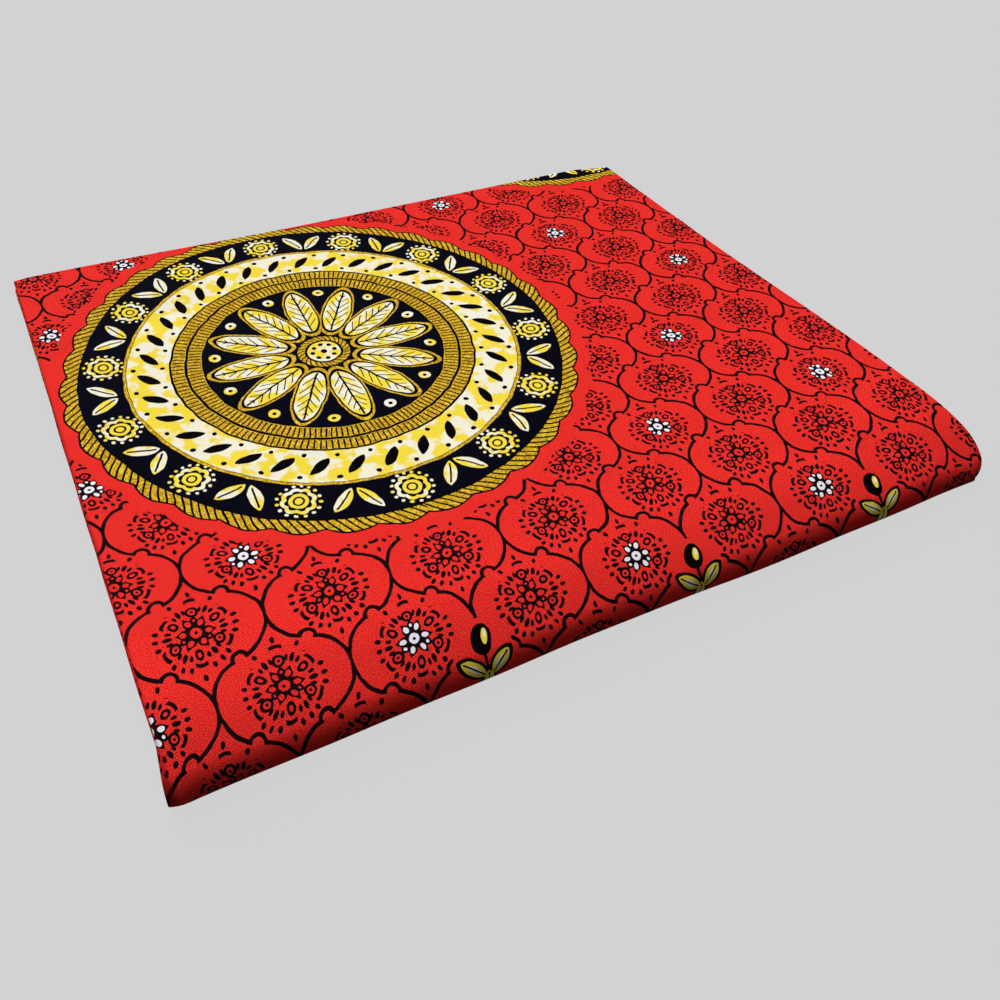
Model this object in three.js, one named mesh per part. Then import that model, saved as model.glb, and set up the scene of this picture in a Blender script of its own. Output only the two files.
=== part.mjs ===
// A six-yard length of wax print cotton, folded for a shop shelf.
//
// The cloth is first folded in half along its length, so that both selvages lie at the left
// and the long fold lies at the right. The doubled cloth is then rolled flat, panel over panel.
// The outer leaf is the last turn of that roll: its cut end lies on top at the back, and it runs
// forward over the top, round the front nose, back along the underside and up round the back nose.
// All the turns inside it are one solid, with a ridge for each ply at both ends of the stack.
//
// Millimetres, +Z up, +X to the right along the front, +Y to the back.

import * as THREE from "three";
import { mergeVertices } from "three/addons/utils/BufferGeometryUtils.js";

// ---- Driving dimensions ----
const CLOTH_WIDTH = 1168; // selvage to selvage, 46 inches
const PANELS = 11; // times that the doubled cloth crosses the stack
const PANEL_PITCH = 2.2; // one panel of doubled cloth with the air above it
const LEAF_WALL = 1.8; // the outer panel's doubled cloth; the rest of its pitch is clearance
const DEPTH = 522; // front nose to back nose, at the selvages
const CUT_END_FROM_BACK = 1; // the top panel's cut end stops this far before the back nose

// The plan's outline
const FRONT_SKEW = { by: 4.6, from: 150, to: 600 }; // the front nose drifts out towards the right
const BACK_SKEW = { by: 6, from: 0, to: 260 }; // the back nose drifts in from the selvages
const BACK_TUCK = { by: 8, from: 524, to: 584 }; // and again just before the long fold
const FLARE = { by: 21, from: 470, to: 70 }; // the long fold drifts out towards the front
const CORNER = { along: 42, across: 26 }; // the rounded corner where the long fold goes round the nose

// Where the stack is pressed thinner than in its middle: how much, and from how far in
const CORNER_PRESS = { by: 4.2, across: 60, along: 80 };
const SELVAGE_PRESS = { by: 0.9, within: 16 };
const BACK_PRESS = { by: 0.7, within: 25 };
// The top also comes down towards the front nose, more and more steeply, and on round the nose as
// far as this many times that distance.
const FRONT_PRESS = { by: 5.5, within: 50, atMost: 1.24 };

// The ends of the plies
const INNER_SELVAGE = 1.2; // the leaf's inner ply stops this far inside its outer ply
const SELVAGE_SLIT = { depth: 3, width: 0.2 }; // between the leaf's two plies at the left
const GROOVE = 3; // between panels, at both ends of the inner layers
const PLY_SLIT = 1.9; // between the two plies of a panel, at the selvages
// The inner plies end this far inside the outer leaf, and sway as they are followed inwards, in
// radians for each turn of the roll.
const DRIFT = { shy: 1.3, sway: 0.6, foldPace: 3.1, plyPace: 2.3, plyPhases: [0.4, 2.6] };

// Fineness
const NOSE_STEPS = 14; // round each nose
const FOLD_STEPS = 6; // round the leaf's own long fold
const ACROSS = [0, 0.012, 0.028, 0.15, 0.3, 0.5, 0.7, 0.84, 0.92, 0.96, 1]; // selvages to long fold
const ALONG = [0, 0.02, 0.05, 0.25, 0.5, 0.7, 0.84, 0.905, 0.935, 0.96, 0.98, 1]; // back to front
const IN_A_PANEL = [0, 0.08, 0.42, 0.5, 0.58, 0.92]; // through one panel, from its outer face
const LEAF_STOPS_AT = 0.985; // of the way round the back nose, just clear of the layers inside

// ---- Sizes worked out from them ----
const STACK = PANELS * PANEL_PITCH;
const FULL_TURNS = (PANELS - 1) / 2; // the panel left over lies flat in the middle
const WIDTH = CLOTH_WIDTH / 2 + FLARE.by;
const BACK_RADIUS = (STACK - PANEL_PITCH) / 2;

const clamp01 = (t) => Math.min(1, Math.max(0, t));
const smooth = (t) => clamp01(t) ** 2 * (3 - 2 * clamp01(t));
const mix = (a, b, t) => a + (b - a) * t;
const drift = ({ by, from, to }, at) => by * smooth((at - from) / (to - from));

// ---- The flat roll ----

// Where the front nose and the back nose stand at x.
const frontLine = (x) => FRONT_SKEW.by - drift(FRONT_SKEW, x);
const backLine = (x) => DEPTH - drift(BACK_SKEW, x) - drift(BACK_TUCK, x);

// The long fold's x at a distance y from the front.
function longFold(y) {
  const intoCorner = clamp01(1 - y / CORNER.along);
  const corner = CORNER.across * (1 - Math.sqrt(1 - intoCorner ** 2));
  return CLOTH_WIDTH / 2 + drift(FLARE, y) - corner;
}

// The share of its full height that the stack keeps at a place in the plan. The underside lies
// flat, so the top comes down where the stack is pressed. Out on the front nose, the long fold is
// taken where the nose begins, so that the press stays even round it.
function heightShare(x, y) {
  const fold = longFold(Math.max(y, STACK / 2));
  const toFold = smooth(1 - (fold - x) / CORNER_PRESS.across);
  const corner = CORNER_PRESS.by * toFold * smooth(1 - y / CORNER_PRESS.along);
  const selvages = SELVAGE_PRESS.by * smooth(1 - x / SELVAGE_PRESS.within);
  const back = BACK_PRESS.by * smooth(1 - (backLine(x) - y) / BACK_PRESS.within);
  const beforeNose = y - frontLine(x) - STACK / 2;
  const toNose = Math.min(FRONT_PRESS.atMost, Math.max(0, 1 - beforeNose / FRONT_PRESS.within));
  const front = FRONT_PRESS.by * toNose ** 2;
  return 1 - (corner + selvages + back + front) / STACK;
}

// A point of the roll's section at x. A station is a run and a fraction of it, and layer counts
// panels inwards from the outside. The end of the back nose at one layer is the start of the top
// run at the next, which is what makes the section a spiral.
function rollPoint(station, layer, x) {
  const { y, z } = unpressedPoint(station, layer, x);
  return { y, z: z * heightShare(x, y) };
}

function unpressedPoint({ run, f }, layer, x) {
  const inset = layer * PANEL_PITCH;
  const frontCentre = frontLine(x) + STACK / 2;
  const backCentre = backLine(x) - BACK_RADIUS;
  if (run === "top") return { y: mix(backCentre, frontCentre, f), z: STACK - inset };
  if (run === "under") return { y: mix(frontCentre, backCentre, f), z: inset };
  const turn = Math.PI * f;
  if (run === "front") {
    const radius = STACK / 2 - inset;
    return { y: frontCentre - radius * Math.sin(turn), z: STACK / 2 + radius * Math.cos(turn) };
  }
  const radius = BACK_RADIUS - inset;
  return { y: backCentre + radius * Math.sin(turn), z: BACK_RADIUS - radius * Math.cos(turn) };
}

const noseFractions = Array.from({ length: NOSE_STEPS }, (_, i) => (i + 1) / NOSE_STEPS);

// One turn, from the back of the top run forward and round to the back again.
function oneTurn() {
  return [
    ...ALONG.map((f) => ({ run: "top", f })),
    ...noseFractions.map((f) => ({ run: "front", f })),
    ...ALONG.map((f) => ({ run: "under", f: 1 - f })).reverse().slice(1),
    ...noseFractions.map((f) => ({ run: "back", f })),
  ];
}

// How far round its turn a station lies, from 0 to 1.
function shareOfTurn({ run, f }) {
  return ({ top: 0, front: 1, under: 2, back: 3 }[run] + f) / 4;
}

// The long fold's x at a station, which all layers share.
function foldAt(station) {
  return longFold(rollPoint(station, 0, WIDTH).y);
}

// ---- Meshes ----

function addQuads(triangles, rows) {
  for (let i = 0; i + 1 < rows.length; i++) {
    for (let j = 0; j + 1 < rows[i].length; j++) {
      const [a, b, c, d] = [rows[i][j], rows[i][j + 1], rows[i + 1][j + 1], rows[i + 1][j]];
      triangles.push([a, c, b], [a, d, c]);
    }
  }
}

function solid(name, triangles, material) {
  const soup = new THREE.BufferGeometry().setFromPoints(triangles.flat());
  const geometry = mergeVertices(soup, 1e-4);
  const index = [];
  for (let i = 0; i < geometry.index.count; i += 3) {
    const [a, b, c] = [0, 1, 2].map((k) => geometry.index.getX(i + k));
    if (a !== b && b !== c && c !== a) index.push(a, b, c); // a quad that ends in a point
  }
  geometry.setIndex(index);
  geometry.computeVertexNormals();
  const mesh = new THREE.Mesh(geometry, material);
  mesh.name = name;
  return mesh;
}

// ---- The outer leaf ----

// The doubled cloth's section: x as a share of the width or as a distance from one end, and the
// depth into the wall. It runs along the outer face, round the long fold, back along the inner
// face and through the slit between the two selvages.
function leafSection(width) {
  const radius = LEAF_WALL / 2;
  const points = ACROSS.map((t) => ({ x: mix(0, width - radius, t), depth: 0 }));
  for (let i = 1; i < FOLD_STEPS; i++) {
    const turn = (Math.PI * i) / FOLD_STEPS;
    points.push({ x: width - radius + radius * Math.sin(turn), depth: radius * (1 - Math.cos(turn)) });
  }
  for (const t of [...ACROSS].reverse()) {
    points.push({ x: mix(INNER_SELVAGE, width - radius, t), depth: LEAF_WALL });
  }
  const half = SELVAGE_SLIT.width / 2;
  points.push({ x: INNER_SELVAGE, depth: radius + half });
  points.push({ x: SELVAGE_SLIT.depth, depth: radius });
  points.push({ x: 0, depth: radius - half });
  return points;
}

// The faces that close the section, as indices of its points. Each column gets its own, so that
// they follow a section whose line across the cloth is not straight.
function endFaces() {
  const columns = ACROSS.length;
  const inner = (i) => 2 * columns + FOLD_STEPS - 2 - i;
  const cells = ACROSS.slice(1).map((_, i) => [i, i + 1, inner(i + 1), inner(i)]);
  const slit = [1, 2, 3].map((k) => inner(0) + k);
  const fold = Array.from({ length: FOLD_STEPS + 1 }, (_, k) => columns - 1 + k);
  cells[0].push(...slit);
  cells.push(fold);
  const flat = leafSection(WIDTH).map(({ x, depth }) => new THREE.Vector2(x, -depth));
  return cells.flatMap((cell) => {
    const faces = THREE.ShapeUtils.triangulateShape(cell.map((k) => flat[k]), []);
    return faces.map((face) => face.map((k) => cell[k]));
  });
}

function outerLeaf(material) {
  const behind = BACK_RADIUS - CUT_END_FROM_BACK; // from where the top run starts to the cut end
  const runLength = DEPTH - BACK_RADIUS - STACK / 2;
  const stations = oneTurn().filter(({ run, f }) => run !== "back" || f < LEAF_STOPS_AT);
  stations.unshift({ run: "top", f: -behind / runLength });
  stations.push({ run: "back", f: LEAF_STOPS_AT });

  const rings = stations.map((station) => {
    const section = leafSection(foldAt(station));
    return section.map(({ x, depth }) => {
      const { y, z } = rollPoint(station, depth / PANEL_PITCH, x);
      return new THREE.Vector3(x, y, z);
    });
  });
  const triangles = [];
  addQuads(triangles, rings.map((ring) => [...ring, ring[0]]));

  const last = rings.length - 1;
  for (const [a, b, c] of endFaces()) {
    triangles.push([rings[0][a], rings[0][c], rings[0][b]], [rings[last][a], rings[last][b], rings[last][c]]);
  }
  return solid("outer_leaf", triangles, material);
}

// ---- The inner layers ----

// How far the end of a ply lies inside the outer leaf's, at a depth of `at` into its panel.
// roll counts turns along the cloth, so each ply's edge wanders smoothly as it is followed inwards.
function endInset(side, at, roll) {
  if (at === 0) return GROOVE;
  if (side === "fold") {
    const round = (PANEL_PITCH / 2) * (1 - Math.sqrt(1 - (2 * at - 1) ** 2));
    return DRIFT.shy + DRIFT.sway * Math.sin(DRIFT.foldPace * roll) + round;
  }
  if (at === 0.5) return PLY_SLIT + DRIFT.sway;
  const phase = DRIFT.plyPhases[at < 0.5 ? 0 : 1];
  return DRIFT.shy + DRIFT.sway * Math.sin(DRIFT.plyPace * roll + phase);
}

function endPoint(side, station, panel, at) {
  const inset = endInset(side, at, panel + shareOfTurn(station));
  const x = side === "fold" ? foldAt(station) - inset : inset;
  const { y, z } = rollPoint(station, panel + at, x);
  return new THREE.Vector3(x, y, z);
}

// One line from the selvages to the long fold, at a station and a depth.
function lineAcross(station, panel, at) {
  const left = endPoint("selvage", station, panel, at);
  const right = endPoint("fold", station, panel, at);
  return ACROSS.map((t) => {
    const x = mix(left.x, right.x, t);
    const { y, z } = rollPoint(station, panel + at, x);
    return new THREE.Vector3(x, y, z);
  });
}

// One end of the stack: a ribbon for each step through each panel, wound inwards.
function endFace(side, turn) {
  const triangles = [];
  const steps = [...IN_A_PANEL.map((at) => ({ add: 0, at })), { add: 1, at: 0 }];
  const ribbon = (stations, panel) => {
    const rows = stations.map((s) => steps.map(({ add, at }) => endPoint(side, s, panel + add, at)));
    addQuads(triangles, rows);
    return rows;
  };
  for (let panel = 1; panel < FULL_TURNS; panel++) ribbon(turn, panel);

  // The middle panel ends at the front nose's centre, and a fan fills the half round before it.
  const topRun = turn.filter(({ run }) => run === "top");
  const middle = ribbon(topRun, FULL_TURNS).at(-1);
  const nose = turn.filter(({ run, f }) => run === "front" && f < 1);
  const round = nose.map((s) => endPoint(side, s, FULL_TURNS, 0));
  const rim = [...middle].reverse().concat(round);
  const hub = rim[0].clone().add(rim[IN_A_PANEL.length]).multiplyScalar(0.5);
  hub.y -= PANEL_PITCH / 8;
  rim.forEach((p, i) => triangles.push([p, rim[(i + 1) % rim.length], hub]));
  return side === "selvage" ? triangles.map((t) => t.reverse()) : triangles;
}

function innerLayers(material) {
  const turn = oneTurn();
  const triangles = [...endFace("selvage", turn), ...endFace("fold", turn)];
  addQuads(triangles, turn.map((station) => lineAcross(station, 1, 0)));

  // The step where the outer leaf, having come round the back, carries on as the next panel in.
  const start = turn[0];
  const step = IN_A_PANEL.map((at) => lineAcross(start, 1, at));
  step.push(lineAcross(start, 2, 0));
  addQuads(triangles, step.reverse());
  return solid("inner_layers", triangles, material);
}

// ---- The part ----

const printedCloth = new THREE.MeshStandardMaterial({ color: 0xe02420, roughness: 0.75, metalness: 0 });
const clothEdges = new THREE.MeshStandardMaterial({ color: 0xb81f1c, roughness: 0.85, metalness: 0 });

// The origin is the middle of the underside.
const foldedCloth = new THREE.Group();
foldedCloth.position.set(-WIDTH / 2, -DEPTH / 2, 0);
foldedCloth.add(outerLeaf(printedCloth), innerLayers(clothEdges));

const part = new THREE.Group();
part.add(foldedCloth);
export default part;
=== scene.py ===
# %% [markdown]
# # Six yards of wax print cotton, folded for the shelf
#
# A shop sells printed cotton in long lengths. The cloth is folded in half along its length, so that
# both selvages lie at the left and one long fold lies at the right. Then it is rolled flat, panel
# over panel, into a thin rectangle with a soft front edge. This lesson takes a plain CAD model of
# that roll, which gives the size and place of everything, and dresses it as real cloth: thin,
# layered at its ends, slightly uneven, and printed all over.
#
# The CAD model comes in first. The cloth has to stay inside its box.

# %% Load the frame
from math import cos, exp, hypot, pi, radians, sin, sqrt

import bpy
from mathutils import Matrix, Vector


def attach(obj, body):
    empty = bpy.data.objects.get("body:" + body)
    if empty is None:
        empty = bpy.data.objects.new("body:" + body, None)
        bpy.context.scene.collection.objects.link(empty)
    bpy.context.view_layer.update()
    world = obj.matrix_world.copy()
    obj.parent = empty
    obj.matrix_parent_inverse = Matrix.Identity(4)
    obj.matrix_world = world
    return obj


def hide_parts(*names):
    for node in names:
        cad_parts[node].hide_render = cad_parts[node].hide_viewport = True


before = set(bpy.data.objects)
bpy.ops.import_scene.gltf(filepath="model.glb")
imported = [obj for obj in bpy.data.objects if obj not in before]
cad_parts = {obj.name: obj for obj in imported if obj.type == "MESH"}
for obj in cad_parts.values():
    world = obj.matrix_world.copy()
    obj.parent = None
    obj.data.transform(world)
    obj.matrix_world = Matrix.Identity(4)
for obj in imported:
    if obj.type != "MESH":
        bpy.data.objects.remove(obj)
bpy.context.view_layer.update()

# %% [markdown]
# ## The sizes of the fold
#
# These are the sizes that a shop assistant's hands settle: how wide the doubled cloth is, how deep
# the rectangle is, how thick eleven panels make it. They are the same numbers as in the CAD
# model, in millimetres, with x from the selvages at the left, y from the front and z from the
# table. One small function turns a place in the fold into Blender's metres, with the origin in
# the middle of the underside.

# %% Sizes, in millimetres
CLOTH_WIDTH = 1168  # from selvage to selvage, 46 inches
PANELS = 11  # times that the doubled cloth crosses the stack
PANEL_PITCH = 2.2  # one panel of doubled cloth with the air above it
STACK = PANELS * PANEL_PITCH
DEPTH = 522  # from the front nose to the back nose
FLARE = 21  # how far the long fold drifts out towards the front
WIDTH = CLOTH_WIDTH / 2 + FLARE
FRONT_RADIUS = STACK / 2
BACK_RADIUS = (STACK - PANEL_PITCH) / 2
MM = 0.001


def in_metres(x, y, z):
    return ((x - WIDTH / 2) * MM, (y - DEPTH / 2) * MM, z * MM)


print(f"a stack {WIDTH:.0f} x {DEPTH:.0f} x {STACK:.1f} mm")

# %% [markdown]
# ## The outline and the height
#
# Seen from above, the front edge drifts a little, the long fold flares towards the front, and the
# corner where the two meet is round. Pressing by hand leaves the stack thinner at that corner,
# along the selvages, at the back, and most of all towards the front edge, where the top comes
# down more and more steeply. The underside lies flat on the table, so each press is a share that
# the height is multiplied by: what lies low moves least.

# %% The outline


def clamp01(t):
    return min(1.0, max(0.0, t))


def smooth(t):
    return clamp01(t) ** 2 * (3 - 2 * clamp01(t))


def mix(a, b, t):
    return a + (b - a) * t


def ramp(value, start, end):
    """A smooth rise from 0 where value is start to 1 where it is end."""
    return smooth((value - start) / (end - start))


def hump(value, middle, reach):
    """1 at the middle, smoothly down to 0 at reach on either side."""
    return smooth(1 - abs(value - middle) / reach)


FRONT_SKEW = 5.8  # how far the front nose drifts out towards the right
FRONT_SWELL = 1.0  # how far it bulges near its middle
TIP = 3.0  # how far it draws in at the selvages
BACK_SKEW = 6  # how far the back nose drifts in from the selvages
BACK_TUCK = 8  # and again just before the long fold
CORNER = {"across": 26, "along": 42}


def front_line(x):
    """Where the front nose stands at x."""
    tip = TIP * clamp01(1 - (x + 3) / 11) ** 2
    swell = FRONT_SWELL * exp(-(((x - 365) / 40) ** 2))
    return FRONT_SKEW * (1 - ramp(x, 150, 570)) + tip - swell


def back_line(x):
    """Where the back nose stands at x."""
    return DEPTH - BACK_SKEW * ramp(x, 0, 260) - BACK_TUCK * ramp(x, 540, 584)


def long_fold(y):
    """How far right the long fold lies at y."""
    flare = FLARE * ramp(y, 470, 70) + 1.2 * hump(y, 400, 90)
    into_corner = clamp01(1 - y / CORNER["along"])
    corner = CORNER["across"] * (1 - sqrt(1 - into_corner**2))
    return CLOTH_WIDTH / 2 + flare - corner


print(f"the fold reaches {long_fold(60):.0f} mm at the front and {long_fold(490):.0f} mm at the back")

# %% [markdown]
# Each press says how much thinner the stack gets, and from how far in. The front's press grows with
# the square of the way to the nose, and on round the nose a little beyond it.

# %% The height
CORNER_PRESS = 4.2
SELVAGE_PRESS = 0.9
BACK_PRESS = 0.7
FRONT_PRESS = {"at_selvages": 6.6, "less_inwards": 1.1, "within": 50, "at_most": 1.24}


def height_share(x, y):
    """The share of its height that the stack keeps where hands have pressed it."""
    to_fold = long_fold(max(y, FRONT_RADIUS)) - x
    to_back = back_line(x) - y
    to_nose = 1 - (y - front_line(x) - FRONT_RADIUS) / FRONT_PRESS["within"]
    corner = CORNER_PRESS * ramp(to_fold, 60, 0) * ramp(y, 80, 0)
    selvages = SELVAGE_PRESS * ramp(x, 16, 0)
    back = BACK_PRESS * ramp(to_back, 25, 0)
    pressed = FRONT_PRESS["at_selvages"] - FRONT_PRESS["less_inwards"] * ramp(x, 60, 340)
    front = pressed * min(FRONT_PRESS["at_most"], max(0, to_nose)) ** 2
    return 1 - (corner + selvages + back + front) / STACK


print(f"pressed to {100 * height_share(0, FRONT_RADIUS):.0f}% of its height over the front nose")

# %% [markdown]
# ## Creases
#
# Cloth that hands have folded is never quite flat. A crease is a short line with a soft trough or
# ridge across it, half a millimetre or so high, and no two are alike. They could come from a
# cloth simulation, but listing each one keeps them where pulls really gather: near corners,
# by the long fold and across the middle of the top. Every layer below follows them, less and less
# towards the table.

# %% Creases
# The x and y of one end, the x and y of the other, how wide and how high
CREASES = [
    (15, 395, 150, 432, 10, -0.45),
    (60, 212, 215, 238, 14, 0.4),
    (240, 470, 330, 340, 15, -0.4),
    (330, 122, 470, 152, 14, 0.4),
    (430, 255, 575, 196, 12, -0.5),
    (450, 74, 566, 30, 11, -0.6),
    (505, 62, 588, 100, 10, 0.45),
    (36, 66, 125, 30, 11, -0.45),
    (520, 436, 584, 376, 11, 0.45),
    (180, 60, 300, 36, 12, 0.35),
    (8, 300, 40, 322, 8, 0.5),
]


def crease_height(x, y):
    """The height of all the creases together at a place on the top."""
    height = 0.3 * sin(x / 83 + 0.7) * sin(y / 71 + 1.9)
    for x1, y1, x2, y2, width, rise in CREASES:
        dx, dy = x2 - x1, y2 - y1
        along = clamp01(((x - x1) * dx + (y - y1) * dy) / (dx * dx + dy * dy))
        away = hypot(x - x1 - along * dx, y - y1 - along * dy) / width
        if away < 3:
            height += rise * exp(-away * away)
    return height


rises = [rise for *_, rise in CREASES]
print(len(CREASES), "creases, from", min(rises), "to", max(rises), "mm")

# %% [markdown]
# ## The flat roll
#
# A station is one line across the cloth, named by its layer, its run and how far along that run
# it lies. One turn of the roll goes forward along the top, round the front nose, back along the
# underside and up round the back nose, where the next layer in begins. The front nose also bulges
# and shrinks a little along its length, as a soft edge does.

# %% The flat roll


def roll_point(station, x, depth):
    """The y and z of the cloth at x, on a station, at a depth under its layer's outer face."""
    layer, run, f = station
    inset = layer * PANEL_PITCH + depth
    back_centre = back_line(x) - BACK_RADIUS
    front_centre = front_line(x) + FRONT_RADIUS
    if run == "top":
        y, z = mix(back_centre, front_centre, f), STACK - inset
    elif run == "under":
        y, z = mix(front_centre, back_centre, f), inset
    elif run == "front":
        radius = FRONT_RADIUS - inset
        bulge = (0.45 * sin(x / 41 + 0.5) + 0.25 * sin(x / 17)) * sin(pi * f)
        y = front_centre - radius * sin(pi * f) + bulge
        z = FRONT_RADIUS + radius * cos(pi * f)
    else:
        radius = BACK_RADIUS - inset
        y = back_centre + radius * sin(pi * f)
        z = BACK_RADIUS - radius * cos(pi * f)
    return y, z * (height_share(x, y) + crease_height(x, y) / STACK)


def fold_at(station):
    """The long fold's x at a station, the same for every layer."""
    return long_fold(roll_point((0,) + station[1:], WIDTH, 0)[0])


def steps(count, first=0.0, last=1.0):
    return [mix(first, last, i / count) for i in range(count + 1)]


def stretch(layer, run, fractions):
    return [(layer, run, f) for f in fractions]


RUN_LENGTH = DEPTH - BACK_RADIUS - FRONT_RADIUS
CUT_END_FROM_BACK = 1  # the top's cut end lies this far inside the back nose
LEAF_STOPS_AT = 0.985  # of the way round the back nose, just clear of the roll inside
ROLL_STARTS_AT = 0.992  # where the roll inside takes over
INNERMOST = (PANELS - 1) // 2  # the panel left over lies flat in the middle

cut_end = (CUT_END_FROM_BACK - BACK_RADIUS) / RUN_LENGTH
leaf_stations = stretch(0, "top", [cut_end, cut_end / 2] + steps(96))
leaf_stations += stretch(0, "front", steps(26)[1:])
leaf_stations += stretch(0, "under", steps(48)[1:])
leaf_stations += stretch(0, "back", steps(20, 0, LEAF_STOPS_AT)[1:])

inner_stations = [(0, "back", ROLL_STARTS_AT)]
for layer in range(1, INNERMOST):
    inner_stations += stretch(layer, "top", steps(44))
    inner_stations += stretch(layer, "front", steps(14)[1:])
    inner_stations += stretch(layer, "under", steps(44)[1:])
    inner_stations += stretch(layer, "back", steps(14)[1:-1])
inner_stations += stretch(INNERMOST, "top", steps(44))
print("stations along the leaf:", len(leaf_stations), "and along the roll:", len(inner_stations))

# %% [markdown]
# ## The place in the print
#
# Ink sits on the cloth, so the pattern has to follow the cloth round every fold. Each point of the
# mesh is therefore told where it was on the flat, printed length: how far from the selvage and how
# far along. That is what a UV map holds, and here it holds real distances. On the top the cloth is
# pulled slightly off its grain, mostly towards the front nose and near both ends, so the two
# distances drift a little there. Past the nose they simply count on, panel by panel.

# %% The place in the print, in millimetres
TOP_BEHIND = 3.2  # the print is counted along the cloth from this far behind the front nose


def grain_drift(x, y):
    """How far the cloth has been pulled from its printed place, across and along."""
    along = y - TOP_BEHIND
    # How near the point is to each zone, from 0 to 1
    nose = ramp(along, 30, 8)
    front = ramp(along, 105, 10)
    back = ramp(along, 300, 430)
    right = ramp(x, 430, 550) * ramp(along, 420, 120)
    left = ramp(x, 150, 0)
    from_left = max(0, 1 - x / 480)
    # Across, towards the long fold
    across = -9.2 * front * (0.6 + 0.4 * ramp(x, 0, 60))
    across += 5 * right - 4.2 * nose
    across += (9 - 0.026 * x) * back
    across += 4 * left * (ramp(along, 130, 190) - hump(along, 80, 60))
    # Along, towards the back
    drift = 8.5 * from_left**2 - 1.2
    drift += 8.6 * exp(-x / 50) * ramp(along, 50, 140)
    drift += 1.6 * ramp(x, 500, 0) * ramp(along, 60, 110)
    drift += 2.2 * ramp(x, 330, 440) * ramp(along, 50, 170)
    drift += 7.5 * ramp(x, 470, 590) * ramp(along, 70, 270)
    drift += 4 * back * clamp01(1 - x / 200)
    drift -= 7 * front + 1.8 * nose * from_left
    return across, drift


def turns(station):
    """How many turns of the roll a station lies from the start."""
    quarter = {"top": 0, "front": 1, "under": 2, "back": 3}[station[1]]
    return station[0] + (quarter + clamp01(station[2])) / 4


def rolled_length(station, x):
    """How much cloth lies between the back of the top and a station."""
    layer, run, f = station
    straight = back_line(x) - BACK_RADIUS - FRONT_RADIUS - front_line(x)
    length = 0
    for turn in range(layer):
        length += 2 * straight + pi * (FRONT_RADIUS + BACK_RADIUS - 2 * turn * PANEL_PITCH)
    front = pi * (FRONT_RADIUS - layer * PANEL_PITCH)
    back = pi * (BACK_RADIUS - layer * PANEL_PITCH)
    before = {"top": 0, "front": straight, "under": straight + front, "back": 2 * straight + front}
    own = {"top": straight, "front": front, "under": straight, "back": back}
    return length + before[run] + own[run] * f


def print_place(station, x):
    """Where a point of the outer ply was on the flat cloth: across, along."""
    y = front_line(x) + FRONT_RADIUS
    if station[:2] == (0, "top"):
        y = roll_point(station, x, 0)[0]
    drift_across, drift_along = grain_drift(x, y)
    past_front_nose = clamp01(4 * turns(station) - 1)
    drift_across -= 8 * clamp01(x / 350) * past_front_nose
    along = back_line(x) - BACK_RADIUS - TOP_BEHIND - rolled_length(station, x)
    return x - drift_across, along - drift_along


print("cloth from the cut end to the middle:", round(rolled_length(inner_stations[-1], 300)), "mm")

# %% [markdown]
# ## The ends of the plies
#
# Every panel is two plies of cloth. At the left each ply ends in a selvage, and at the right the
# two are one, round a fold as tight as a hairpin. Nobody lines up twenty-two plies exactly, so
# each end lies a little in or out of its neighbours, wanders as it goes, and lifts or sags by a
# fraction of a millimetre. The wandering is made from slow sine waves, with a different start for
# each ply, which gives the same cloth every time the script runs.

# %% The ends of the plies
PLY = 0.42  # one ply of cotton
PLY_DEPTHS = (0.0, 1.52)  # the printed faces of a panel's two plies, under the panel's outer face
HAIRPIN = (PLY_DEPTHS[1] - PLY_DEPTHS[0]) / 2


def end_inset(station, y, ply):
    """How far inside the selvage line a ply ends."""
    turned = turns(station)
    wander = 0.35 * sin(y / 57 + 2.1 * ply + 4 * turned) + 0.15 * sin(y / 13 + 5 * turned + ply)
    if turned < 1 and ply == 0:
        return 1.8 + 0.8 * wander - 4.6 * ramp(y, 50, 0)
    return 1.5 + 0.6 * sin(2.3 * turned + 2.2 * ply) + wander


def fold_inset(station, y):
    """How far inside the long fold's line a panel's own fold lies."""
    turned = turns(station)
    wander = 0.3 * sin(y / 49 + 3.3 * turned) + 0.15 * sin(y / 19 + 2 * turned)
    return max(0, wander) if turned < 1 else 1.2 + 0.6 * sin(3.1 * turned) + wander


def flutter(station, x, y, ply):
    """How far a ply lifts or sags near the ends of the stack."""
    if station[0] == 0 and station[1] == "under" and ply == 0:
        return 0
    near_end = ramp(x, 46, 0) + 0.6 * ramp(fold_at(station) - x, 30, 0)
    turned = turns(station)
    slow = 0.15 * sin(y / 31 + 2.9 * ply + 7 * turned)
    quick = 0.09 * sin(y / 11 + 1.3 * ply + 3 * turned)
    return near_end * (slow + quick)


print(f"plies {PLY} mm thick, round a fold of {HAIRPIN:.2f} mm radius")

# %% [markdown]
# ## Cutting and folding the cloth
#
# Each piece starts as Blender's flat grid, which is a length of cloth on the cutting table. Every
# vertex knows its column and its row, so it can be carried to its place in the fold: first along
# the outer ply to the long fold, round the hairpin, and back along the inner ply. The same pass
# writes the UV map, and an attribute with the distance to the nearest selvage. Solidify then gives
# the cloth its thickness on the side away from the print.

# %% Fold a grid into a stretch of the roll
HAIRPIN_STEPS = 7


def columns_across(outer, inner):
    """The columns of a cloth: which ply each is on, and how far along it."""
    hairpin = [("hairpin", i / HAIRPIN_STEPS) for i in range(1, HAIRPIN_STEPS)]
    return [("outer", t) for t in outer] + hairpin + [("inner", t) for t in reversed(inner)]


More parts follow.
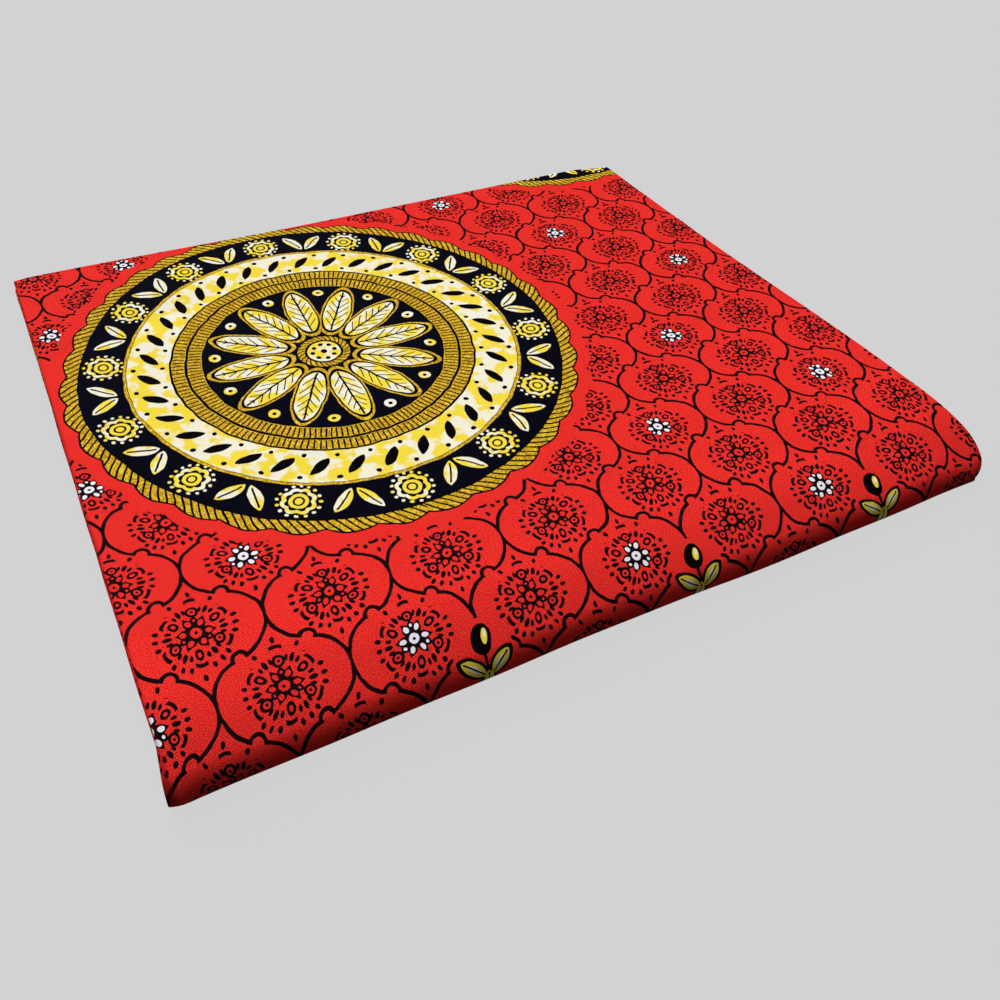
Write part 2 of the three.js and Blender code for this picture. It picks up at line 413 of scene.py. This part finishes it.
def folded_point(station, column):
    """Place in the fold, place in the print and distance to the selvage, for one vertex."""
    part, t = column
    fold = fold_at(station) - HAIRPIN
    fold -= fold_inset(station, roll_point(station, fold, 0)[0])
    ply = {"outer": 0, "hairpin": 0.5, "inner": 1}[part]
    if part == "hairpin":
        x = fold + HAIRPIN * sin(pi * t)
        depth = HAIRPIN * (1 - cos(pi * t))
    else:
        start = end_inset(station, roll_point(station, 0, 0)[0], ply)
        x = mix(start, fold, t)
        depth = PLY_DEPTHS[ply]
    y, z = roll_point(station, x, depth)
    z += flutter(station, x, y, ply)
    across, along = print_place(station, min(x, fold))
    if part == "hairpin":
        across += HAIRPIN * pi * t
    if part == "inner":
        fold_across = print_place(station, fold)[0]
        across = fold_across + HAIRPIN * pi + (fold - x)
    selvage = x if part != "hairpin" else fold
    return in_metres(x, y, max(z, 0.0)), (across * MM, along * MM), selvage


def fold_cloth(name, stations, columns):
    bpy.ops.object.select_all(action="DESELECT")
    bpy.ops.mesh.primitive_grid_add(
        x_subdivisions=len(columns) - 1, y_subdivisions=len(stations) - 1, size=1, calc_uvs=False
    )
    cloth = bpy.context.object
    cloth.name = cloth.data.name = name
    mesh = cloth.data
    uvs, selvages = [], mesh.attributes.new("selvage", "FLOAT", "POINT")
    for vertex in mesh.vertices:
        column = round((vertex.co.x + 0.5) * (len(columns) - 1))
        row = round((vertex.co.y + 0.5) * (len(stations) - 1))
        place, uv, selvage = folded_point(stations[-1 - row], columns[column])
        vertex.co = place
        uvs.append(uv)
        selvages.data[vertex.index].value = selvage
    layer = mesh.uv_layers.new(name="cloth")
    for corner in mesh.loops:
        layer.data[corner.index].uv = uvs[corner.vertex_index]
    wall = cloth.modifiers.new("Wall", "SOLIDIFY")
    wall.thickness = PLY * MM
    wall.offset = -1
    bpy.ops.object.modifier_apply(modifier=wall.name)
    bpy.ops.object.shade_smooth_by_angle(angle=radians(50))
    triangles = sum(len(face.vertices) - 2 for face in mesh.polygons)
    print(f"{name}: {len(stations)} x {len(columns)} vertices, {triangles} triangles")
    return cloth


# %% [markdown]
# ## The outer leaf
#
# The last turn of the roll is what everyone sees: the top with its cut end at the back, the front
# nose, the underside and the back nose. Its columns are close together, so that creases and the
# round corner stay smooth, and closer still at the selvage. The ply underneath hides behind it and
# shows only at its ends, so it needs fewer.

# %% The outer leaf
NEAR_SELVAGE = [0, 0.003, 0.007, 0.012, 0.018, 0.025, 0.033]
leaf_outer = NEAR_SELVAGE + steps(92, 0.042, 1)
leaf_inner = NEAR_SELVAGE[::2] + [0.06, 0.1, 0.2, 0.35, 0.5, 0.65, 0.78, 0.86, 0.91, 0.95, 0.975, 1]
leaf_cloth = fold_cloth("leaf_cloth", leaf_stations, columns_across(leaf_outer, leaf_inner))

# %% [markdown]
# ## The layers inside
#
# The other nine panels are the rest of the same length, rolled flat in one piece. Only their ends
# and folds can be seen, so the columns crowd there and are far apart in the hidden middle.

# %% The layers inside
ends = [0, 0.004, 0.01, 0.02, 0.035, 0.055, 0.08, 0.12, 0.2, 0.35, 0.5, 0.65, 0.8]
ends += [0.87, 0.91, 0.94, 0.96, 0.975, 0.988, 1]
roll_cloth = fold_cloth("roll_cloth", inner_stations, columns_across(ends, ends))

# %% [markdown]
# ## Shader maths as plain Python
#
# A print is drawing, and drawing with nodes takes hundreds of them. Wiring each by hand would hide
# the design, so one small class wraps a socket: arithmetic on it adds Math nodes, comparisons give
# masks of 0 and 1, | joins two masks and & keeps what both cover. Any other node comes from the one
# method called node.

# %% One class that wraps a socket


class Wire:
    """A socket in a material. Python's operators on it add Math nodes."""

    def __init__(self, tree, socket=None):
        self.tree = tree
        self.socket = socket

    def node(self, kind, settings=None, sockets=None, out=0):
        made = self.tree.nodes.new("ShaderNode" + kind)
        for name, value in (settings or {}).items():
            setattr(made, name, value)
        for key, value in (sockets or {}).items():
            if isinstance(value, Wire):
                self.tree.links.new(value.socket, made.inputs[key])
            else:
                made.inputs[key].default_value = value
        return Wire(self.tree, made.outputs[out])

    def math(self, operation, *values):
        return self.node("Math", {"operation": operation}, dict(enumerate(values)))

    def __add__(self, other):
        return self.math("ADD", self, other)

    def __radd__(self, other):
        return self.math("ADD", other, self)

    def __sub__(self, other):
        return self.math("SUBTRACT", self, other)

    def __rsub__(self, other):
        return self.math("SUBTRACT", other, self)

    def __mul__(self, other):
        return self.math("MULTIPLY", self, other)

    def __rmul__(self, other):
        return self.math("MULTIPLY", other, self)

    def __lt__(self, other):
        return self.math("LESS_THAN", self, other)

    def __gt__(self, other):
        return self.math("GREATER_THAN", self, other)

    def __and__(self, other):
        return self.math("MULTIPLY", self, other)

    def __or__(self, other):
        return self.math("MAXIMUM", self, other)

    def __abs__(self):
        return self.math("ABSOLUTE", self)


print("a Wire's own methods:", [name for name in vars(Wire) if not name.startswith("_")])

# %% [markdown]
# A few drawing tools follow, each a line or two of that maths. near is a pen line where a value
# passes a number, length is the distance from a point, wrap repeats a motif, and oval is a filled
# ellipse. over lays one colour on another through a mask. Dyes are written as they look on a
# screen, and turned into the linear light that a shader works in.

# %% Drawing tools


def near(value, centre, half_width):
    return value.math("COMPARE", value, centre, half_width)


def length(x, y):
    return x.math("SQRT", x.math("MULTIPLY_ADD", x, x, y * y))


def wrap(value, period):
    return value.math("WRAP", value, period / 2, -period / 2)


def nearest(value, low, high):
    """The distance from value to the nearest whole number from low to high."""
    whole = value.math("MAXIMUM", value.math("MINIMUM", value.math("ROUND", value), high), low)
    return abs(value - whole)


def oval(x, y, half_x, half_y):
    return length(x * (1 / half_x), y * (1 / half_y))


def turned(x, y, degrees):
    """x and y in axes turned by an angle."""
    c, s = cos(radians(degrees)), sin(radians(degrees))
    return x * c + y * s, y * c - x * s


def over(under, colour, mask):
    """Lay a colour over another where the mask is 1."""
    return mask.node(
        "Mix", {"data_type": "RGBA", "clamp_factor": True}, {0: mask, 6: under, 7: colour}, out=2
    )


def linear(channel):
    """One colour channel from the screen's 0 to 255 to linear light."""
    if channel > 10:
        return ((channel / 255 + 0.055) / 1.055) ** 2.4
    return channel / 255 / 12.92


def dye(red, green, blue):
    return (linear(red), linear(green), linear(blue), 1)


RED = dye(255, 58, 50)
SHADED_RED = dye(186, 20, 22)
BLACK = dye(9, 5, 7)
INK = dye(20, 12, 14)
NAVY = dye(8, 8, 20)
GOLD = dye(214, 168, 38)
BRONZE = dye(138, 98, 20)
YELLOW = dye(244, 218, 66)
CREAM = dye(242, 236, 214)
CHALK = dye(236, 232, 240)
print("the red dye in linear light:", [round(part, 3) for part in RED[:3]])

# %% [markdown]
# ## The trellis
#
# The red ground is covered with a net of onion-shaped cells, a repeat that printers have used for
# centuries. Each cell is bounded by arcs of two circles with a small lobe where they meet. All
# that the drawing needs is one number, which falls from positive inside a lower cell to negative
# inside the upper one: the black line is where it passes zero. The same number says which cell a
# point is in, and so how far it is from the flower at that cell's middle.

# %% The trellis
CELL_HALF = 38.35  # half a cell's width
ROW = 45.6  # from one row of flowers to the next
FIRST_ACROSS, FIRST_ALONG = 4, 39  # the middle of one cell, in print millimetres
ARC = 22.9  # the radius of the arcs round a cell
ARC_AT = 15.6  # their centres' distance from the cell's middle line
LOBE_AT = (18.8, 22.6)  # the lobe's centre, from the cell's middle
LOBE = 4.4  # and its radius
NET_LINE = 1.19  # half the width of the net's line


def trellis(across, along):
    """The net's line, the place inside a cell, and which cells have a pale flower."""
    lifted = along - FIRST_ALONG
    row = lifted.math("FLOOR", lifted * (1 / ROW))
    up = lifted - row * ROW
    odd = row.math("FLOORED_MODULO", row, 2)
    moved = across - FIRST_ACROSS - odd * CELL_HALF
    cell = moved.math("ROUND", moved * (1 / (2 * CELL_HALF)))
    signed = moved - cell * (2 * CELL_HALF)
    side = abs(signed)
    lower = ARC - length(side - ARC_AT, up)
    upper = length(side - (CELL_HALF - ARC_AT), up - ROW) - ARC
    field = upper + (side > (LOBE_AT[0] - 0.3)) * (lower - upper)
    lobe = LOBE - length(side - LOBE_AT[0], up - LOBE_AT[1])
    field = field | lobe
    line = near(field, 0, NET_LINE)
    is_upper = field < 0
    # A flower is pale in every second cell of every second row.
    number = 2 * (cell + (is_upper & (signed > 0))) + row + is_upper
    pale = number.math("FLOORED_MODULO", number, 4) < 0.5
    return line, abs(side - is_upper * CELL_HALF), up - is_upper * ROW, pale


print(f"cells {2 * CELL_HALF:.1f} mm wide, in rows {ROW} mm apart")

# %% [markdown]
# ## The flower in each cell
#
# The flower has three rings and three ovals round six pointed petals, and a spray of strokes. It is
# the same in each third and mirrored, so it is drawn once in a wedge of sixty degrees: the angle is
# folded into that wedge, and the place is then measured along the wedge's own axes. The rings lie on
# its near side, the petals along its middle and the ovals on its far side.

# %% The flower
WEDGE = 2 * pi / 3


def petals_and_rings(r, angle, along_wedge, off_wedge, to_ring):
    """The flower's heart: what is inked, and what a pale flower leaves white."""
    ink = near(r, 3.85, 0.7) | (r < 1.0)
    ink = ink | near(to_ring, 2.8, 0.8) | (to_ring < 0.85)
    bead = length(along_wedge - 8.1, off_wedge)
    ink = ink | near(bead, 1.5, 0.7) | ((off_wedge < 0.9) & near(along_wedge, 10.3, 1.1))
    # A petal is round inside and pointed outside.
    along = r * angle.math("COSINE", angle - pi / 6)
    off = abs(r * angle.math("SINE", angle - pi / 6))
    petal = oval(along - 7.0, off, 2.05, 1.55)
    kite = (off < (11.7 - along) * 0.68) & (off < 2.9) & (along > 3.6)
    ink = ink | (kite & (petal > 1))
    chalk = (petal < 1) | near(r, 2.1, 1.15) | (bead < 0.95)
    return ink, chalk


def strokes(r, angle, first, apart, low, high):
    """The distance round the flower to the nearest of a few strokes, set apart by some degrees."""
    place = (angle - radians(first)) * (1 / radians(apart))
    return nearest(place, low, high) * radians(apart) * r


def spray(r, angle, side, up):
    """The ovals and the strokes between them, the outermost dots, and the ovals' short arcs."""
    along = r * angle.math("COSINE", angle - pi / 3)
    off = r * angle.math("SINE", angle - pi / 3)
    ink = near(oval(along - 13.4, off, 2.5, 1.8), 1.0, 0.39)
    ink = ink | (oval(r - 15.5, strokes(r, angle, 16.5, 12.5, 0, 2), 1.9, 1.03) < 1)
    ink = ink | (oval(r - 15.8, (angle - radians(29)) * r, 2.6, 1.38) < 1)
    arc = near(length(along - 13.4, off), 6.3, 1.07)
    ink = ink | (arc & (abs(off) < 3.3) & (along > 14))
    return ink | (oval(side, abs(up) - 27, 1.25, 2.1) < 1)


def flower(side, up):
    """Where a flower is inked, and where a pale one is left white."""
    r = length(side, up)
    angle = abs(wrap(r.math("ARCTAN2", side, up), WEDGE))
    off_wedge = r * angle.math("SINE", angle)
    along_wedge = r * angle.math("COSINE", angle)
    to_ring = length(along_wedge - 14.1, off_wedge)
    ink, chalk = petals_and_rings(r, angle, along_wedge, off_wedge, to_ring)
    ink = ink | spray(r, angle, side, up)
    # High up, the arc and the dots stand further out, and one dot takes the place of three.
    above = up > 15
    arc = near(to_ring - above * 2.2, 6.6, 1.07)
    ink = ink | (arc & (off_wedge < 3.5) & (along_wedge > 14))
    dots = 1 - above
    dot = strokes(r, angle, 30, 13.5, 0 - dots, dots)
    ink = ink | (oval(r - 22 - above * 1.6, dot, 1.8, 1.27) < 1)
    return ink, chalk


print(f"a flower is {2 * pi / (WEDGE / 2):.0f} copies of one wedge")

# %% [markdown]
# ## The big round medallion
#
# Wax prints often set one large motif against a small net. Here it is a round medallion of petals,
# leaves and blossoms in yellow and gold on navy, with a rope edge. It is drawn in rings: the
# distance from its middle says which ring a point is in, and the angle, wrapped as often as a ring
# repeats, says where in that ring's motif. Cream and yellow run into each other inside the light
# parts, as wax-resist dyes do.

# %% The medallions' places
MEDALLIONS_AT = ((200, 315), (575, 673))  # two in each repeat of the print
REPEAT = (760, 960)
SCALLOPS = 36
SCALLOP_DEPTH = 4.5
MEDALLION_EDGE = 199
TURN = 2 * pi


def medallion_place(across, along):
    """The distance, the angle and the scalloped distance from the nearest medallion's middle."""
    (across_1, along_1), (across_2, along_2) = MEDALLIONS_AT
    x1 = wrap(across - across_1, REPEAT[0])
    y1 = wrap(along - along_1, REPEAT[1])
    x2 = wrap(across - across_2, REPEAT[0])
    y2 = wrap(along - along_2, REPEAT[1])
    second = length(x2, y2) < length(x1, y1)
    x = x1 + second * (x2 - x1)
    y = y1 + second * (y2 - y1)
    r, angle = length(x, y), x.math("ARCTAN2", x, y)
    wave = abs(angle.math("SINE", angle * (SCALLOPS / 2)))
    return r, angle, r + SCALLOP_DEPTH - SCALLOP_DEPTH * wave


def between(value, low, high):
    return near(value, (low + high) / 2, (high - low) / 2)


def round_ring(angle, count, radius, phase=0.0):
    """The distance along a ring from the nearest of its equal motifs."""
    return wrap(angle + phase, TURN / count) * radius


print(f"medallions {2 * MEDALLION_EDGE} mm across, in a repeat of {REPEAT[0]} x {REPEAT[1]} mm")

# %% [markdown]
# The middle is a boss in a rope ring, then twelve petals with a vein and side veins, and a bud
# between each two. Two bands of gold hatching go round them.

# %% The medallion's middle
PETALS = 12


def rosette(r, angle, light, shine):
    colour = over(NAVY, light, r < 14)
    ring_dot = length(r - 9, round_ring(angle, 8, 9))
    colour = over(colour, NAVY, (ring_dot < 1.9) | (r < 2.6) | near(r, 14, 0.9))
    colour = over(colour, shine, between(r, 15, 20))
    twist = near(wrap(angle * 17 + r * 0.8, 4), 0, 0.6)
    colour = over(colour, BLACK, between(r, 15, 20) & twist)
    off = abs(round_ring(angle, PETALS, r))
    petal = oval(r - 57, off, 35, 13)
    colour = over(colour, shine, petal < 1)
    colour = over(colour, light, petal < 0.86)
    side_vein = near(wrap(r - 1.5 * off, 8.5), 0, 0.75) & (petal < 0.68)
    vein = (off < 0.8) & (petal < 0.8)
    colour = over(colour, BLACK, side_vein | vein | near(petal, 0.86, 0.045))
    bud = length(r - 83, round_ring(angle, PETALS, r, pi / PETALS))
    colour = over(colour, light, bud < 5.2)
    return over(colour, NAVY, (bud < 1.6) | near(bud, 5.2, 0.6))


def hatched_bands(colour, r, angle, shine):
    hatched = between(r, 92, 118)
    colour = over(colour, shine, hatched)
    hatch = near(round_ring(angle, 168, r), 0, 0.62) & (between(r, 94, 104) | between(r, 107, 116))
    rims = near(r, 92.4, 1) | near(r, 105.4, 1.1) | near(r, 117.2, 1)
    return over(colour, BLACK, hatched & (hatch | rims))


print(PETALS, "petals, with a bud between each two")

# %% [markdown]
# Outside them lie a light band with a chain of black leaves, blossoms and leaf pairs on navy, and
# the scalloped rope edge.

# %% The medallion's outer rings
CHAIN = {"count": 34, "radius": 134}
BLOSSOMS = {"count": 14, "radius": 168}


def leaf_chain(colour, r, angle, light):
    count, radius = CHAIN["count"], CHAIN["radius"]
    colour = over(colour, light, between(r, 118, 150))
    x, y = turned(round_ring(angle, count, radius), r - radius, 52)
    leaf = oval(x, abs(y) + 2.6, 11.5, 6.4) < 1
    between_leaves = abs(round_ring(angle, count, radius, pi / count))
    seed = length(between_leaves, abs(r - radius) - 11) < 1.9
    return over(colour, BLACK, (leaf | seed) & between(r, 119, 149))


def blossom_ring(colour, r, angle, light, shine):
    count, radius = BLOSSOMS["count"], BLOSSOMS["radius"]
    x = round_ring(angle, count, radius)
    blossom = length(x, r - radius)
    around = blossom.math("ARCTAN2", x, r - radius)
    lobed = blossom - 1.7 * abs(around.math("SINE", around * 4))
    colour = over(colour, light, (lobed < 10.9) & (lobed > 7.8))
    colour = over(colour, YELLOW, blossom < 6.8)
    colour = over(colour, NAVY, near(blossom, 3.4, 0.7))
    bead = length(round_ring(around, 16, 14.4), blossom - 14.4)
    colour = over(colour, light, bead < 1.3)
    off = abs(round_ring(angle, count, radius, pi / count))
    leaf_x, leaf_y = turned(off - 8.5, r - 168.5, 58)
    leaf = oval(leaf_x, abs(leaf_y) + 3.4, 14, 8.1)
    colour = over(colour, light, (leaf < 1) & between(r, 152, 183))
    colour = over(colour, NAVY, near(leaf_y, 0, 0.7) & (leaf < 0.85) & between(r, 152, 183))
    return over(colour, shine, near(r, 151.6, 1.1))


def rope_edge(colour, r, angle, scallop, shine):
    rope = between(r, 184.5, 300) & (scallop < MEDALLION_EDGE)
    colour = over(colour, shine, rope)
    twist = near(wrap(angle * 197 + r * 0.9, 6.5), 0, 1.0)
    return over(colour, BLACK, rope & (twist | near(scallop, 198.6, 1.0) | near(r, 185, 1.0)))


def medallion_colour(r, angle, scallop, light, shine):
    """The medallion's colours. light mixes cream and yellow, shine is gold and bronze."""
    colour = rosette(r, angle, light, shine)
    colour = hatched_bands(colour, r, angle, shine)
    colour = leaf_chain(colour, r, angle, light)
    colour = blossom_ring(colour, r, angle, light, shine)
    return rope_edge(colour, r, angle, scallop, shine)


print(CHAIN["count"], "leaves in the chain,", BLOSSOMS["count"], "blossoms")

# %% [markdown]
# ## The sprigs near the front
#
# Between the medallions the printer dropped small sprigs on the net: a dark bud with a bright
# cheek above three yellow leaves. A plain red margin is kept round each, as round the medallion,
# so that the net's lines stop short of it.

# %% The sprigs
SPRIG_AT = (349.1, 14)  # the middle one of three
SPRIG_APART = 153.4


def sprig_place(across, along):
    """The place from the nearest sprig's middle."""
    x = wrap(across - SPRIG_AT[0], REPEAT[0])
    y = wrap(along - SPRIG_AT[1], REPEAT[1])
    number = x.math("ROUND", x * (1 / SPRIG_APART))
    number = number.math("MAXIMUM", number.math("MINIMUM", number, 1), -1)
    return x - number * SPRIG_APART, y


def sprig_colour(colour, x, y):
    """Lay a sprig over the colour of the net."""
    bud = oval(x, y - 12, 6.8, 8.6)
    side_x, side_y = turned(abs(x) - 8.5, y + 3, 38)
    side_leaf = oval(side_x, abs(side_y) + 2.4, 10.5, 7)
    low_leaf = oval(abs(x) + 2, y + 14, 6.4, 10.5)
    leaves = side_leaf.math("MINIMUM", side_leaf, low_leaf)
    colour = over(colour, BLACK, (bud < 1) | (leaves < 1.16) | ((abs(x) < 1) & near(y, -2, 8)))
    colour = over(colour, YELLOW, leaves < 0.9)
    colour = over(colour, CREAM, leaves < 0.62)
    vein = near(side_y, 0, 0.5) & (side_leaf < 0.8)
    colour = over(colour, BLACK, vein | (near(x, 0, 0.5) & (low_leaf < 0.8)))
    cheek = oval(x - 2.3, y - 13, 2.1, 4.4)
    colour = over(colour, YELLOW, cheek < 1)
    return over(colour, CREAM, oval(x - 2.6, y - 14.2, 1.0, 2.0) < 1)


print(f"three sprigs in each repeat, {SPRIG_APART} mm apart")

# %% [markdown]
# ## The printed cotton
#
# The finish is a smooth plain weave with the faint wax sheen of a new print. The place in the print
# comes from the UV map, moved by a little noise so that no line is ruled. The layers go on as at
# the printer's: the red ground, the black net and flowers, then the medallion and the sprigs.

# %% The print
HAND = 2.6  # how far a printer's line wanders, from side to side
THREAD = 0.8  # from one thread to the next, in millimetres
PLAIN_MARGIN = 10  # the plain red round a medallion
NOISE_2D = {"noise_dimensions": "2D"}


def noise(flat, scale, out=0):
    return flat.node("TexNoise", NOISE_2D, {"Vector": flat, "Scale": scale, "Detail": 2.0}, out=out)


def x_and_y(vector):
    return [vector.node("SeparateXYZ", None, {0: vector}, out=axis) for axis in (0, 1)]


def threads(x, y):
    """Plain weave, from -1 to 1: two sets of threads that pass over and under each other."""
    return x.math("SINE", x * (pi / THREAD)) * y.math("SINE", y * (pi / THREAD))


def gold_and_cream(flat, speckle):
    """The medallion's light colour and its shine, each with its own mottling."""
    mottle = noise(flat, 0.075)
    light = over(CREAM, YELLOW, (mottle - 0.44) * 9)
    streak = mottle.math("SINE", mottle * 60)
    shine = over(GOLD, BRONZE, streak * 0.5 + speckle - 0.4)
    return light, over(shine, YELLOW, -0.35 - streak)


def printed_colour(flat, speckle):
    """The whole print at a place on the flat cloth, in millimetres."""
    wander = {0: noise(flat, 0.06, out=1), 1: (HAND, HAND, 0), 2: flat}
    moved = flat.node("VectorMath", {"operation": "MULTIPLY_ADD"}, wander)
    across, along = [value - HAND / 2 for value in x_and_y(moved)]
    line, side, up, pale = trellis(across, along)
    ink, chalk = flower(side, up)
    r, angle, scallop = medallion_place(across, along)
    sprig_x, sprig_y = sprig_place(across, along)
    bare = (scallop > (MEDALLION_EDGE + PLAIN_MARGIN)) & (oval(sprig_x, sprig_y + 3, 20, 27) > 1)
    colour = over(RED, SHADED_RED, (speckle - 0.41) * 3.8 + threads(across, along) * 0.95)
    colour = over(colour, INK, (ink | line) & bare)
    colour = over(colour, CHALK, chalk & pale & bare)
    light, shine = gold_and_cream(flat, speckle)
    medallion = medallion_colour(r, angle, scallop, light, shine)
    colour = over(colour, medallion, scallop < MEDALLION_EDGE)
    return sprig_colour(colour, sprig_x, sprig_y)


print(f"{10 / THREAD:.1f} threads to the centimetre")

# %% [markdown]
# The print goes into the shader's colour, with painted shade over the last few millimetres before a
# selvage, where the ply ends stack. The weave goes in as a bump, and the roughness varies with the
# speckle. What is the same all over is set on the shader itself.

# %% The printed cotton
# Painted shade: a dark red laid over the last few millimetres before a selvage, where the stacked ply
# ends fall into shade.
EDGE_SHADE_RED = dye(96, 10, 12)


def printed_cotton(name):
    material = bpy.data.materials.new(name)
    material.use_nodes = True
    cloth = material.node_tree.nodes["Principled BSDF"]
    start = Wire(material.node_tree)
    uv = start.node("UVMap", {"uv_map": "cloth"})
    flat = start.node("VectorMath", {"operation": "SCALE"}, {0: uv, "Scale": 1000.0})
    speckle = noise(flat, 1.3)
    selvage = start.node("Attribute", {"attribute_name": "selvage"}, out=2)
    # The painted shade is darkest within a millimetre of the selvage and fades out four millimetres
    # in.
    edge_shade_range = {0: selvage, 1: 4.0, 2: 1.0, 3: 0.0, 4: 0.55}
    painted_edge_shade = start.node("MapRange", {"interpolation_type": "SMOOTHSTEP"}, edge_shade_range)
    colour = over(printed_colour(flat, speckle), EDGE_SHADE_RED, painted_edge_shade)
    height = threads(*x_and_y(flat)) + speckle * 0.7
    bump = start.node("Bump", None, {"Strength": 0.4, "Distance": 0.00012, "Height": height})
    varied = {"Base Color": colour, "Normal": bump, "Roughness": 0.7 + 0.16 * speckle}
    for socket, wire in varied.items():
        material.node_tree.links.new(wire.socket, cloth.inputs[socket])
    cloth.inputs["Specular IOR Level"].default_value = 0.004
    cloth.inputs["Sheen Weight"].default_value = 0.003
    cloth.inputs["Sheen Roughness"].default_value = 0.4
    print(name, "has", len(material.node_tree.nodes), "nodes")
    return material


cotton = printed_cotton("printed_cotton")
leaf_cloth.data.materials.append(cotton)
roll_cloth.data.materials.append(cotton)

# %% [markdown]
# ## Attach each piece and hide its CAD part
#
# Both pieces are soft, so each stands for a plain CAD solid that MuJoCo keeps for collision, and that
# solid is hidden here. Each piece hangs from the root body. The whole length is 1.168 m wide and
# about six yards long, the leaf and the roll inside are two stretches of it, and each one's length is
# measured along the middle.

# %% Attach each piece and hide its CAD part


def cut_length(stations):
    """How much cloth lies between the first and last of these stations, along the middle."""
    return rolled_length(stations[-1], WIDTH / 2) - rolled_length(stations[0], WIDTH / 2)


leaf_length = cut_length(leaf_stations)
roll_length = cut_length(inner_stations)
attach(leaf_cloth, "root")
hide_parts("outer_leaf")
round(leaf_length * MM, 3)
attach(roll_cloth, "root")
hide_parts("inner_layers")
round(roll_length * MM, 3)
print(f"leaf {leaf_length:.0f} mm long, roll inside {roll_length:.0f} mm long")

# %% [markdown]
# ## The table, the light and the camera
#
# A plain pale table fills the view. Most of its tone is its own, so that it stays even, and the
# rest takes the light, which leaves a faint shadow where the cloth touches it.

# %% The table
bpy.ops.object.select_all(action="DESELECT")
bpy.ops.mesh.primitive_plane_add(size=24, location=(0, 0, -0.0004))
table = bpy.context.object
table.name = "table"
paint = bpy.data.materials.new("table_paint")
paint.use_nodes = True
surface = paint.node_tree.nodes["Principled BSDF"]
surface.inputs["Base Color"].default_value = dye(40, 40, 40)
surface.inputs["Roughness"].default_value = 0.9
surface.inputs["Specular IOR Level"].default_value = 0.0
surface.inputs["Emission Color"].default_value = dye(211, 211, 211)
surface.inputs["Emission Strength"].default_value = 0.956
table.data.materials.append(paint)
table.visible_diffuse = False
table.visible_glossy = False
print(f"a table {table.dimensions.x:.0f} m square")

# %% [markdown]
# One broad lamp stands behind the cloth, so the top is bright and the front nose rolls off into
# shade. A weak one fills from the front, and the world adds a little light from all around. To the
# eye the world has the table's own tone, so the table seems to go on for ever, seen from any side.

# %% The light


def add_sun(name, toward, strength, spread):
    """A broad, distant lamp that shines along a direction."""
    bpy.ops.object.light_add(type="SUN", location=(0, 0, 2))
    lamp = bpy.context.object
    lamp.name = name
    lamp.rotation_euler = Vector(toward).to_track_quat("-Z", "Y").to_euler()
    lamp.data.energy = strength
    lamp.data.angle = radians(spread)


add_sun("key_lamp", (0.2, -1.0, -0.72), 5.1, 48)
add_sun("fill_lamp", (-0.5, 0.8, -1.0), 0.1, 60)
world = bpy.data.worlds.new("Studio")
bpy.context.scene.world = world
world.use_nodes = True
glow = world.node_tree.nodes["Background"]
glow.inputs["Color"].default_value = (1, 1, 1, 1)
glow.inputs["Strength"].default_value = 0.068
sky = Wire(world.node_tree)
lit = Wire(world.node_tree, glow.outputs[0])
seen = sky.node("Background", None, {"Color": dye(210, 210, 210), "Strength": 1.0})
backdrop = sky.node("MixShader", None, {0: sky.node("LightPath"), 1: lit, 2: seen})
output = world.node_tree.nodes["World Output"]
world.node_tree.links.new(backdrop.socket, output.inputs["Surface"])
bpy.context.scene.view_settings.view_transform = "Standard"

# %% [markdown]
# The camera stands to the front left, looks down at about forty-five degrees and leans a little
# to one side, so the stack's edges all run aslant. The way it points is set by three angles: round,
# up and roll.

# %% The camera
ROUND, UP, ROLL = radians(-30.83), radians(44.83), radians(3.86)
CAMERA_AT = (21.7, -261.3, 461.5)  # millimetres, in the fold's own axes
right = Vector((cos(ROUND), sin(ROUND), 0))
backward = Vector((sin(ROUND) * cos(UP), -cos(ROUND) * cos(UP), sin(UP)))
upward = backward.cross(right)
leaning_right = right * cos(ROLL) + upward * sin(ROLL)
leaning_up = upward * cos(ROLL) - right * sin(ROLL)
bpy.ops.object.camera_add()
camera = bpy.context.object
camera.name = "camera"
axes = Matrix((leaning_right, leaning_up, backward)).transposed().to_4x4()
camera.matrix_world = Matrix.Translation(in_metres(*CAMERA_AT)) @ axes
camera.data.lens = 33.53
camera.data.sensor_width = 36
bpy.context.scene.camera = camera
print("camera at", [round(part, 3) for part in camera.matrix_world.translation])

# %% [markdown]
